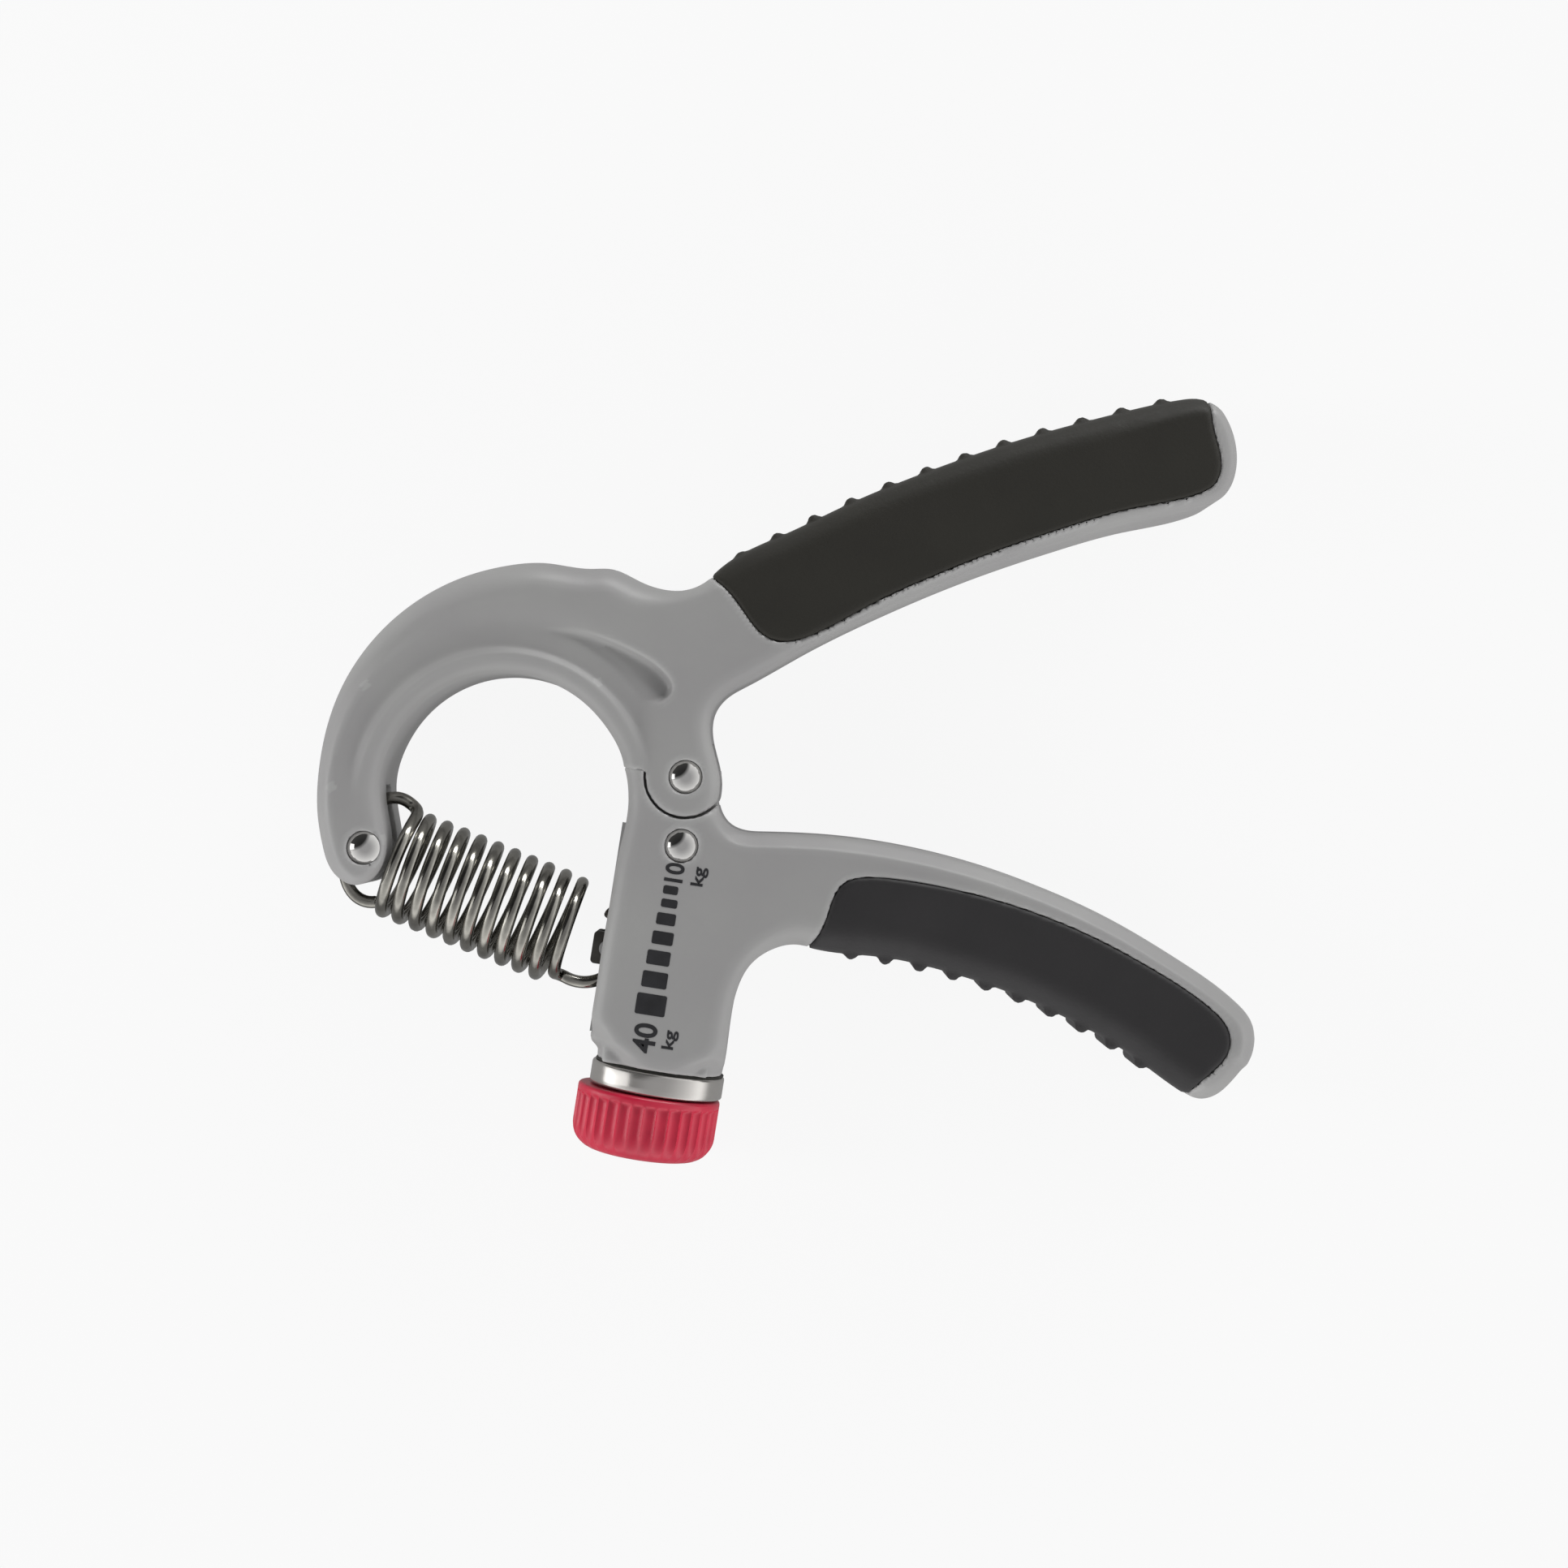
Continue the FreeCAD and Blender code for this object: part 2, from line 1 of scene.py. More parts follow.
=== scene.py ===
"""An adjustable hand gripper, lying on a pale table: the handles, rubber grips, spring, knob and scale that
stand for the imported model's nodes, their materials, and the lights and camera.

Shapes are drawn in millimetres about the hinge rivet, with the screw along Y and the thickness along Z,
and turned into metres in the row frame by to_row.
"""
import math

import bmesh
import bpy
import numpy as np
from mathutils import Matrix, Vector


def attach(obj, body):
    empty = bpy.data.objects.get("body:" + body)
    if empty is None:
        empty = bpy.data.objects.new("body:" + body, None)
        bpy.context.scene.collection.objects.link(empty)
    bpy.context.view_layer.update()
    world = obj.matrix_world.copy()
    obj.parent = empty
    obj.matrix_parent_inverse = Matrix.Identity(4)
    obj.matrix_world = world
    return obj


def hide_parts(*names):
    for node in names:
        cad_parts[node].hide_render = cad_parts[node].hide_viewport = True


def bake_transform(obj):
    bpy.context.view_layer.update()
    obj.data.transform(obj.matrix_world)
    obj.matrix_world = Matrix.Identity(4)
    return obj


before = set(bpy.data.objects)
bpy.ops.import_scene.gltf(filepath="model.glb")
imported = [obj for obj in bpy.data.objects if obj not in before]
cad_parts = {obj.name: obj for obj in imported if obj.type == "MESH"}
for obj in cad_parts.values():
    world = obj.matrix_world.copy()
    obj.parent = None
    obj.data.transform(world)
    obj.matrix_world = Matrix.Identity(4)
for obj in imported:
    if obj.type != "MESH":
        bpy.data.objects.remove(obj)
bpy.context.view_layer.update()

MM = 0.001
HINGE = np.array((-16.6, -4.9, 10.5))
HALF = 10.5
FACE = 10.34           # half thickness of the plastic faces; the rubber and the print stand just proud
GRID = 0.5             # spacing of the grids that the moulded pieces are meshed on
SPLIT = -0.03          # at rest the upper handle's shoulder just meets the lower handle
SHOULDER_LAP = 0.25    # how far the barrel reaches under that shoulder, so the joint hardly shows
HUB_R = 5.6
RECESS_R = 5.95
TONGUE_R = 4.8
TONGUE_HALF = 4.0
CHEEK_ROOM_R = 5.7     # the room between the cheeks, for the tongue and its washers
CHEEK_INNER = 4.6
PIVOT_BUSH_R = 2.5
FORK_HALF = 2.0        # half the gap in the arm's forked end
CHANNEL_HALF = 5.22    # half the thickness of the slot that holds the guide channel
CHANNEL_TOP = -7.6
CHANNEL_RIGHT = 7.0
BARREL_END = -41.8
RIVET_BORE_R = 1.56
RIVET_SEAT_R = 2.42
RIVET_SEAT_DEPTH = 1.3
GRIP_TOP = 64.5        # the upper rubber's furthest point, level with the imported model's
ARM_RIVET = (-43.4, -17.0)
ANCHOR_RIVET = (0.95, -9.7)
PIVOT = (0.0, 0.0)
SCREW_X = 1.6
BARREL_X = 2.65        # middle of the barrel's turned end
COLLAR_X = 2.4


def to_row(points):
    return (np.asarray(points, float) + HINGE) * MM


# Outlines

def arc_points(centre, radius, start_deg, end_deg, count):
    angles = [math.radians(start_deg + (end_deg - start_deg) * i / (count - 1)) for i in range(count)]
    return [(centre[0] + radius * math.cos(a), centre[1] + radius * math.sin(a)) for a in angles]


def bow(start, end, bulge, count, first=0.0, last=1.0):
    """Points on the circular arc from start to end that rises bulge to the left of its chord."""
    dx, dy = end[0] - start[0], end[1] - start[1]
    chord = math.hypot(dx, dy)
    radius = (chord ** 2 / 4 + bulge ** 2) / (2 * bulge)
    half_angle = math.asin(chord / 2 / radius)
    points = []
    for i in range(count):
        angle = half_angle * (2 * (first + (last - first) * i / (count - 1)) - 1)
        along = radius * math.sin(angle) + chord / 2
        rise = bulge - radius * (1 - math.cos(angle))
        x = start[0] + (dx * along - dy * rise) / chord
        y = start[1] + (dy * along + dx * rise) / chord
        points.append((x, y))
    return points


UPPER_BACK = ((61.5, 64.1), (0.4, 30.2), -2.85)
LOWER_BACK = ((22.0, -21.3), (77.0, -33.3), 4.3)
HOLE = (-25.1, -7.0, 17.7)

UPPER_OUTLINE = (
    [(-5.0, -7.0), (0.0, -7.6), (4.0, -5.5), (5.0, -2.2), (4.7, 0.6), (3.4, 4.0)]
    + [(2.3, 7.2), (2.3, 9.8), (3.6, 12.3)]
    + bow((6.2, 14.5), (66.6, 49.4), 2.9, 8)
    + [(69.3, 51.5), (70.3, 55.0), (69.7, 58.8), (67.9, 62.2), (65.6, 64.2), (63.2, 64.5)]
    + bow(*UPPER_BACK[:2], UPPER_BACK[2], 8)
    + [(-1.5, 27.9), (-4.0, 26.3), (-7.2, 25.9), (-11.0, 26.6), (-15.2, 27.7)]
    + arc_points((-20.45, -4.35), 31.7, 86, 176, 9)
    + [(-52.1, -8.0), (-51.3, -13.5), (-49.9, -17.8), (-48.4, -20.7)]
    + [(-46.6, -22.2), (-43.9, -22.5), (-41.6, -21.0), (-40.5, -18.4), (-40.7, -15.2), (-41.7, -12.0)]
    + arc_points(HOLE[:2], HOLE[2], 181, 25, 10)
    + [(-8.0, -3.4)]
)

LOWER_OUTLINE = (
    arc_points(HOLE[:2], HOLE[2], 28, 4, 4)
    + [(-7.75, -12.0), (-7.9, -19.0), (-8.0, -26.0), (-7.95, -32.0)]
    + [(-7.95, -36.0), (-7.8, -39.0), (-7.5, -42.0), (-6.5, -47.0), (1.6, -50.0), (9.8, -47.0)]
    + [(11.6, -42.0), (11.65, -37.0), (11.6, -32.0), (12.0, -28.2)]
    + [(13.3, -24.8), (16.0, -22.3), (19.0, -21.2)]
    + bow(*LOWER_BACK[:2], LOWER_BACK[2], 7)
    + [(79.3, -33.9), (81.5, -33.1), (83.6, -30.7), (85.3, -27.4), (85.6, -24.4), (84.6, -21.6)]
    + bow((82.3, -19.5), (12.0, -6.2), -6.2, 8)
    + [(9.2, -6.4), (6.9, -5.7), (5.4, -4.0), (4.5, -1.0), (4.2, 3.0), (2.5, 8.0)]
    + [(-2.5, 10.8), (-7.4, 9.4), (-10.0, 5.6)]
)

UPPER_GRIP_OUTLINE = (
    bow((14.5, 22.6), (65.6, 51.0), 2.2, 7)
    + [(67.3, 52.4), (67.9, 54.8), (67.0, 58.0), (65.6, 61.4), (64.0, 66.0), (60.0, 68.0)]
    + [(45.0, 62.0), (20.0, 50.0), (0.0, 36.0), (-3.0, 31.5), (-1.6, 29.3)]
    + [(1.6, 27.0), (4.2, 24.6), (6.4, 22.4), (8.8, 21.1), (11.6, 21.2)]
)

LOWER_GRIP_OUTLINE = (
    [(17.6, -24.8), (20.0, -22.1), (21.6, -20.0), (22.6, -17.4)]
    + [(23.2, -14.0), (24.5, -11.3), (27.4, -10.0)]
    + bow((31.4, -9.6), (78.4, -20.7), 3.2, 6)
    + [(81.0, -22.9), (81.9, -25.3), (81.0, -28.2), (78.7, -31.2), (76.8, -34.4), (74.0, -37.0)]
    + [(60.0, -31.0), (40.0, -27.0), (22.0, -27.0)]
)

POCKET_OUTLINE = (
    [(-24.2, 17.3)]
    + bow((-20.3, 18.1), (-4.9, 14.2), 1.25, 4)
    + [(-3.5, 12.2), (-4.5, 9.9), (-6.6, 9.2)]
    + bow((-8.6, 10.3), (-20.0, 16.6), -0.9, 4)
)


def smooth_loop(points, per_span=10):
    """A closed cubic spline through the points, sampled per_span times between each two."""
    p = np.array(points, float)
    count = len(p)
    span = np.linalg.norm(np.roll(p, -1, 0) - p, axis=1)
    before = np.roll(span, 1)
    system = np.zeros((count, count))
    rows = np.arange(count)
    system[rows, rows] = 2 * (span + before)
    system[rows, (rows - 1) % count] = span
    system[rows, (rows + 1) % count] = before
    rise = (np.roll(p, -1, 0) - p) / span[:, None]
    slope = np.linalg.solve(system, 3 * (before[:, None] * rise + span[:, None] * np.roll(rise, 1, 0)))
    t = np.arange(per_span)[None, :, None] / per_span
    a, b = p[:, None], np.roll(p, -1, 0)[:, None]
    ma, mb = (slope * span[:, None])[:, None], (np.roll(slope, -1, 0) * span[:, None])[:, None]
    curve = a * (2 * t ** 3 - 3 * t ** 2 + 1) + ma * (t ** 3 - 2 * t ** 2 + t)
    curve = curve + b * (3 * t ** 2 - 2 * t ** 3) + mb * (t ** 3 - t ** 2)
    return curve.reshape(-1, 2)


class Plan:
    """The signed distance to a closed outline in plan, negative inside, sampled on a grid."""

    STEP = 0.4

    def __init__(self, outline, low, high):
        loop = smooth_loop(outline)
        self.low = np.array(low, float)
        counts = [int((high[i] - low[i]) / self.STEP) + 5 for i in (0, 1)]
        x = (self.low[0] + self.STEP * (np.arange(counts[0]) - 2))[:, None]
        y = (self.low[1] + self.STEP * (np.arange(counts[1]) - 2))[None, :]
        nearest = np.full((counts[0], counts[1]), 1e9)
        inside = np.zeros(nearest.shape, bool)
        for (ax, ay), (bx, by) in zip(loop, np.roll(loop, -1, 0)):
            dx, dy = bx - ax, by - ay
            t = np.clip(((x - ax) * dx + (y - ay) * dy) / (dx * dx + dy * dy), 0, 1)
            nearest = np.minimum(nearest, (x - ax - t * dx) ** 2 + (y - ay - t * dy) ** 2)
            if ay != by:
                crosses = ((ay > y) != (by > y)) & (x < ax + (y - ay) * dx / dy)
                inside ^= crosses
        self.values = np.where(inside, -1, 1) * np.sqrt(nearest)

    def __call__(self, x, y):
        """The distance at these places, by cubic interpolation."""
        u = (x - self.low[0]) / self.STEP + 2
        v = (y - self.low[1]) / self.STEP + 2
        u, v = np.broadcast_arrays(u, v)
        i = np.clip(np.floor(u).astype(int), 1, self.values.shape[0] - 3)
        j = np.clip(np.floor(v).astype(int), 1, self.values.shape[1] - 3)
        wu, wv = cubic_weights(np.clip(u - i, 0, 1)), cubic_weights(np.clip(v - j, 0, 1))
        total = 0
        for a in range(4):
            row = 0
            for b in range(4):
                row = row + wv[b] * self.values[i + a - 1, j + b - 1]
            total = total + wu[a] * row
        return total


def cubic_weights(t):
    return (
        -0.5 * t + t ** 2 - 0.5 * t ** 3,
        1 - 2.5 * t ** 2 + 1.5 * t ** 3,
        0.5 * t + 2 * t ** 2 - 1.5 * t ** 3,
        -0.5 * t ** 2 + 0.5 * t ** 3,
    )


# Solids as signed fields, negative inside

def step_up(low, high, value):
    t = np.clip((value - low) / (high - low), 0, 1)
    return t * t * (3 - 2 * t)


def blend_max(a, b, width):
    """The larger of a and b, with the crease between them rounded."""
    h = np.clip(0.5 + 0.5 * (a - b) / width, 0, 1)
    return b + (a - b) * h + width * h * (1 - h)


def blend_min(a, b, width):
    return -blend_max(-a, -b, width)


def round_edge(a, b, radius):
    """Where both a and b are negative, with the edge between them rounded."""
    u, v = np.maximum(a + radius, 0), np.maximum(b + radius, 0)
    return np.minimum(np.maximum(a + radius, b + radius), 0) + np.sqrt(u * u + v * v) - radius


def disc(x, y, place, radius):
    return np.hypot(x - place[0], y - place[1]) - radius


def rivet_hole(x, y, z, place):
    """A headed hole: the shank's bore, and a seat in each face."""
    shank = disc(x, y, place, RIVET_BORE_R)
    seat = np.maximum(disc(x, y, place, RIVET_SEAT_R), (HALF - RIVET_SEAT_DEPTH) - abs(z))
    return np.minimum(shank, seat)


upper_plan = Plan(UPPER_OUTLINE, (-55, -25), (74, 68))
upper_grip_plan = Plan(UPPER_GRIP_OUTLINE, (-12, 12), (74, 70))
pocket_plan = Plan(POCKET_OUTLINE, (-30, 4), (4, 24))
lower_plan = Plan(LOWER_OUTLINE, (-12, -44), (89, 3))
lower_grip_plan = Plan(LOWER_GRIP_OUTLINE, (10, -40), (89, -4))


def upper_blank(x, y, z):
    edge = upper_plan(x, y)
    from_hole = disc(x, y, HOLE[:2], HOLE[2])
    on_arm = step_up(-2, -12, x)
    band = step_up(2.3, 4.2, from_hole) * (1 - step_up(6.0, 11.0, from_hole))
    top = FACE - 1.0 * band * step_up(-3, -9, x) * step_up(-14, -2, y)
    steep = step_up(0, 1.0, -pocket_plan(x, y))
    top = top - 1.8 * steep * (0.2 + 0.8 * step_up(7.0, 10.6, from_hole))
    outer_side = step_up(6.0, 9.0, from_hole) * on_arm
    back_side = step_up(-2.0, 2.0, y - (24.5 + 0.60 * x)) * step_up(-3, 3, x)
    rim = 2.5 + 3.0 * outer_side + 1.6 * back_side * (1 - outer_side)
    return round_edge(edge, abs(z) - top, rim)


def upper_handle_field(x, y, z):
    blank = upper_blank(x, y, z)
    hub = disc(x, y, PIVOT, HUB_R)
    kept = np.where(x > -20, np.minimum(SPLIT - y, hub), -9.0)
    solid = np.maximum(blank, kept)
    region = upper_grip_plan(x, y)
    core = blank + 2.0
    solid = np.minimum(blend_max(solid, -region, 0.12), core)
    solid = np.maximum(solid, -np.maximum(disc(x, y, PIVOT, CHEEK_ROOM_R), abs(z) - CHEEK_INNER))
    fork = np.maximum(np.maximum(x + 36, y + 8.0), abs(z) - FORK_HALF)
    solid = np.maximum(solid, -fork)
    for place in (PIVOT, ARM_RIVET):
        solid = np.maximum(solid, -rivet_hole(x, y, z, place))
    return solid


def rib_field(x, y, spots):
    nearest = 99.0
    for spot in spots:
        nearest = np.minimum(nearest, disc(x, y, spot, 0.95))
    return nearest


def rib_spots(back, count, first, last, sink):
    start, end, bulge = back
    dx, dy = end[0] - start[0], end[1] - start[1]
    chord = math.hypot(dx, dy)
    side = 1 if bulge < 0 else -1
    inward = (-dy / chord * sink * side, dx / chord * sink * side)
    return [(x + inward[0], y + inward[1]) for x, y in bow(start, end, bulge, count, first, last)]


UPPER_RIBS = rib_spots(UPPER_BACK, 12, 0.045, 0.955, 0.1)
LOWER_RIBS = rib_spots(LOWER_BACK, 10, 0.09, 0.87, 0.1)
PROUD = 0.12           # how far the rubber stands above the plastic


def grip_field(blank, region, spots, x, y, z):
    skin = round_edge(blank - PROUD, region + 0.04, 0.45)
    bars = round_edge(rib_field(x, y, spots), abs(z) - 7.3, 0.8)
    skin = blend_min(skin, bars, 0.5)
    return np.maximum(skin, -(blank + 2.05))


def upper_grip_field(x, y, z):
    rubber = grip_field(upper_blank(x, y, z), upper_grip_plan(x, y), UPPER_RIBS, x, y, z)
    return np.maximum(rubber, y - GRIP_TOP)


def lower_blank(x, y, z):
    edge = lower_plan(x, y)
    level = abs(z) - FACE
    middle = np.where(x < 50, -15.4 + 0.001 * (x - 38) ** 2, -15.3 - 0.0105 * (x - 50) ** 2)
    inner_side = step_up(-1.5, 1.5, y - middle) * step_up(5.5, 9.0, x)
    back_side = (1 - step_up(-1.5, 1.5, y - middle)) * step_up(12.0, 20.0, x)
    rim = 2.8 + 1.9 * back_side
    plain = round_edge(edge, level, rim)
    flat = blend_max(np.maximum(edge, level), (edge + level + 2.1) * 0.7071, 0.35)
    return plain + (flat - plain) * inner_side


def lower_handle_field(x, y, z):
    blank = lower_blank(x, y, z)
    solid = np.maximum(blank, y - SHOULDER_LAP * (x < -RECESS_R))
    wide = 9.35 + 2.2 * step_up(-41.0, -38.4, y) + 5.0 * step_up(-38.4, -32.0, y)
    deep = 9.35 + 7.0 * step_up(-44.0, -32.0, y)
    turned = (np.hypot((x - BARREL_X) / wide, z / deep) - 1) * 9.0
    solid = np.where((y < -28) & (x < 18), blend_max(solid, turned, 0.8), solid)
    hub = disc(x, y, PIVOT, RECESS_R)
    solid = blend_max(solid, -np.maximum(hub, TONGUE_HALF - abs(z)), 0.10)
    region = lower_grip_plan(x, y)
    solid = np.minimum(blend_max(solid, -region, 0.12), blank + 2.0)
    tongue = round_edge(disc(x, y, PIVOT, TONGUE_R), abs(z) - TONGUE_HALF, 0.3)
    solid = np.minimum(solid, tongue)
    room = np.maximum(np.maximum(x - CHANNEL_RIGHT, abs(z) - CHANNEL_HALF), y - CHANNEL_TOP)
    solid = np.maximum(solid, -room)
    foot = np.maximum(np.maximum(blank, turned), np.maximum(y + 38.1, np.maximum(x + 4.1, abs(z) - 5.4)))
    solid = np.minimum(solid, foot)
    solid = blend_max(solid, BARREL_END - y, 0.3)
    solid = np.maximum(solid, -disc(x, y, PIVOT, PIVOT_BUSH_R))
    return np.maximum(solid, -rivet_hole(x, y, z, ANCHOR_RIVET))


def lower_grip_field(x, y, z):
    return grip_field(lower_blank(x, y, z), lower_grip_plan(x, y), LOWER_RIBS, x, y, z)


# Meshing

def surface_net(field, low, high, step):
    """Points and quads of the surface where the field is zero, one point in each cell that it crosses."""
    axes = [low[i] + step * np.arange(int(math.ceil((high[i] - low[i]) / step)) + 1) for i in range(3)]
    x, y, z = axes[0][:, None, None], axes[1][None, :, None], axes[2][None, None, :]
    values = np.broadcast_to(field(x, y, z), tuple(len(a) for a in axes))
    inside = values < 0
    cells = tuple(len(a) - 1 for a in axes)
    total = np.zeros(cells + (3,))
    hits = np.zeros(cells)
    quads = []
    for axis in range(3):
        u, v = (axis + 1) % 3, (axis + 2) % 3
        near = [slice(None)] * 3
        far = [slice(None)] * 3
        near[axis], far[axis] = slice(0, -1), slice(1, None)
        a, b = values[tuple(near)], values[tuple(far)]
        place = np.argwhere(inside[tuple(near)] != inside[tuple(far)])
        pu, pv = place[:, u], place[:, v]
        place = place[(pu > 0) & (pu < cells[u]) & (pv > 0) & (pv < cells[v])]
        index = tuple(place.T)
        spot = place.astype(float)
        spot[:, axis] += a[index] / (a[index] - b[index])
        corners = []
        for du, dv in ((-1, -1), (0, -1), (0, 0), (-1, 0)):
            cell = place.copy()
            cell[:, u] += du
            cell[:, v] += dv
            total[tuple(cell.T)] += spot
            hits[tuple(cell.T)] += 1
            corners.append(np.ravel_multi_index(tuple(cell.T), cells))
        ring = np.stack(corners, 1)
        leaves = inside[tuple(near)][index]
        ring[~leaves] = ring[~leaves][:, ::-1]
        quads.append(ring)
    used = np.flatnonzero(hits.ravel())
    number = np.full(hits.size, -1)
    number[used] = np.arange(len(used))
    points = (total.reshape(-1, 3)[used] / hits.ravel()[used, None]) * step + np.array(low)
    return settle(points, field), number[np.concatenate(quads)]


def settle(points, field, rounds=4, reach=0.04):
    """Moves the points onto the field's surface along its slope."""
    for _ in range(rounds):
        value = field(*points.T)
        slope = np.empty_like(points)
        for i in range(3):
            ahead, behind = points.copy(), points.copy()
            ahead[:, i] += reach
            behind[:, i] -= reach
            slope[:, i] = (field(*ahead.T) - field(*behind.T)) / (2 * reach)
        size = np.maximum((slope ** 2).sum(1), 0.2)
        move = -(value / size)[:, None] * slope
        length = np.linalg.norm(move, axis=1)[:, None]
        points = points + move * np.minimum(1, 0.25 / np.maximum(length, 1e-9))
    return points


def add_piece(name, points, faces, smooth=True):
    """An object from points in millimetres about the hinge."""
    mesh = bpy.data.meshes.new(name)
    mesh.from_pydata(to_row(points).tolist(), [], [list(map(int, f)) for f in faces])
    mesh.validate()
    mesh.polygons.foreach_set("use_smooth", [smooth] * len(mesh.polygons))
    piece = bpy.data.objects.new(name, mesh)
    bpy.context.scene.collection.objects.link(piece)
    return piece


def moulded(name, field, low, high, step=GRID):
    # The grid starts off the round numbers, so no flat face lies on its planes
    low = [v + 0.013 * step for v in low]
    return add_piece(name, *surface_net(field, low, high, step))


def lathe(name, profile, place, axis, turns=96):
    """A closed profile of (radius, height) turned about a line along Y or Z."""
    points, faces = [], []
    count = len(profile)
    for i in range(turns):
        a = 2 * math.pi * i / turns
        for r, h in profile:
            r = r(a) if callable(r) else r
            if axis == "Y":
                points.append((place[0] + r * math.sin(a), place[1] + h, r * math.cos(a)))
            else:
                points.append((place[0] + r * math.cos(a), place[1] + r * math.sin(a), h))
    for i in range(turns):
        for j in range(count - 1):
            a, b = i * count + j, ((i + 1) % turns) * count + j
            faces.append((a, b, b + 1, a + 1))
    return points, faces


def closed_lathe(name, profile, place, axis, turns=96):
    """A turned piece: the ends of the profile on the axis are merged into one point."""
    points, faces = lathe(name, profile, place, axis, turns)
    piece = add_piece(name, points, faces)
    work = bmesh.new()
    work.from_mesh(piece.data)
    bmesh.ops.remove_doubles(work, verts=work.verts, dist=1e-7)
    bmesh.ops.dissolve_degenerate(work, edges=work.edges, dist=1e-8)
    bmesh.ops.recalc_face_normals(work, faces=work.faces)
    work.to_mesh(piece.data)
    work.free()
    sharpen(piece)
    return piece


def sharpen(piece, angle=35):
    piece.data.polygons.foreach_set("use_smooth", [True] * len(piece.data.polygons))
    piece.data.set_sharp_from_angle(angle=math.radians(angle))


def finish_piece(piece, body, material, nodes=()):
    piece.data.materials.clear()
    piece.data.materials.append(material)
    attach(piece, body)
    if nodes:
        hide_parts(*nodes)
    return piece


# Materials

def node(tree, kind, **values):
    made = tree.nodes.new(kind)
    for key, value in values.items():
        if key in made.inputs:
            made.inputs[key].default_value = value
        else:
            setattr(made, key, value)
    return made


def material(
    name, colour, roughness, metallic=0.0, spread=0.06, spread_scale=60.0, tint=None, rough_spread=0.08,
    grain=2600.0, grain_depth=0.000012, stretch=(1, 1, 1), edge=None, **shader
):
    """A surface whose colour drifts towards tint, with a varied roughness and a fine grain."""
    made = bpy.data.materials.new(name)
    made.use_nodes = True
    tree = made.node_tree
    link = tree.links.new
    surface = tree.nodes["Principled BSDF"]
    surface.inputs["Metallic"].default_value = metallic
    for key, value in shader.items():
        surface.inputs[key.replace("_", " ")].default_value = value
    place = node(tree, "ShaderNodeTexCoord")
    scaled = node(tree, "ShaderNodeMapping", Scale=stretch)
    link(place.outputs["Object"], scaled.inputs["Vector"])
    where = scaled.outputs["Vector"]

    drift = node(tree, "ShaderNodeTexNoise", Scale=spread_scale, Detail=4.0, Roughness=0.55)
    link(where, drift.inputs["Vector"])
    other = tint if tint else tuple(c * (1 + spread) for c in colour)
    dark = tuple(c * (1 - spread) for c in colour)
    ramp = node(tree, "ShaderNodeValToRGB")
    ramp.color_ramp.elements[0].position, ramp.color_ramp.elements[1].position = 0.3, 0.7
    ramp.color_ramp.elements[0].color, ramp.color_ramp.elements[1].color = (*dark, 1), (*other, 1)
    link(drift.outputs["Fac"], ramp.inputs["Fac"])
    shade = ramp.outputs["Color"]
    if edge:
        worn = node(tree, "ShaderNodeNewGeometry")
        reach = node(tree, "ShaderNodeMapRange")
        reach.inputs["From Min"].default_value, reach.inputs["From Max"].default_value = 0.505, 0.56
        reach.inputs["To Max"].default_value = 0.5
        link(worn.outputs["Pointiness"], reach.inputs["Value"])
        mix = node(tree, "ShaderNodeMix", data_type="RGBA")
        link(reach.outputs["Result"], mix.inputs[0])
        link(shade, mix.inputs[6])
        mix.inputs[7].default_value = (*edge, 1)
        shade = mix.outputs[2]
    link(shade, surface.inputs["Base Color"])

    patches = node(tree, "ShaderNodeTexNoise", Scale=spread_scale * 6, Detail=3.0)
    link(where, patches.inputs["Vector"])
    rough = node(tree, "ShaderNodeMapRange")
    rough.inputs["To Min"].default_value = max(0.02, roughness - rough_spread)
    rough.inputs["To Max"].default_value = min(1.0, roughness + rough_spread)
    link(patches.outputs["Fac"], rough.inputs["Value"])
    link(rough.outputs["Result"], surface.inputs["Roughness"])

    fine = node(tree, "ShaderNodeTexNoise", Scale=grain, Detail=2.0)
    link(where, fine.inputs["Vector"])
    bump = node(tree, "ShaderNodeBump", Distance=grain_depth, Strength=1.0)
    link(fine.outputs["Fac"], bump.inputs["Height"])
    link(bump.outputs["Normal"], surface.inputs["Normal"])
    return made


GREY = material("grey_plastic", (0.297, 0.292, 0.293), 0.42, spread=0.035, tint=(0.311, 0.310, 0.305),
                rough_spread=0.05, edge=(0.40, 0.40, 0.395))
UPPER_RUBBER = material("rubber_upper", (0.018, 0.0168, 0.0130), 0.60, spread=0.10, spread_scale=90.0,
                        grain=1900.0, grain_depth=0.00003, Specular_IOR_Level=0.35, Sheen_Weight=0.06,
                        Sheen_Roughness=0.5)
LOWER_RUBBER = material("rubber_lower", (0.020, 0.0190, 0.0200), 0.56, spread=0.12, spread_scale=90.0,
                        grain=1900.0, grain_depth=0.00003, Specular_IOR_Level=0.4, Sheen_Weight=0.06,
                        Sheen_Roughness=0.5)
RED = material("red_plastic", (0.49, 0.014, 0.045), 0.32, spread=0.10, spread_scale=160.0,
               tint=(0.57, 0.020, 0.055), grain_depth=0.000006, Coat_Weight=0.15, Coat_Roughness=0.25)
CHROME = material("chrome", (0.80, 0.79, 0.77), 0.07, 1.0, spread=0.02, rough_spread=0.03, grain=900.0,
                  grain_depth=0.000002)
COLLAR_CHROME = material("collar_chrome", (0.62, 0.60, 0.575), 0.20, 0.85, spread=0.04, rough_spread=0.05,
                         grain=700.0, grain_depth=0.000004, stretch=(0.2, 4, 0.2))
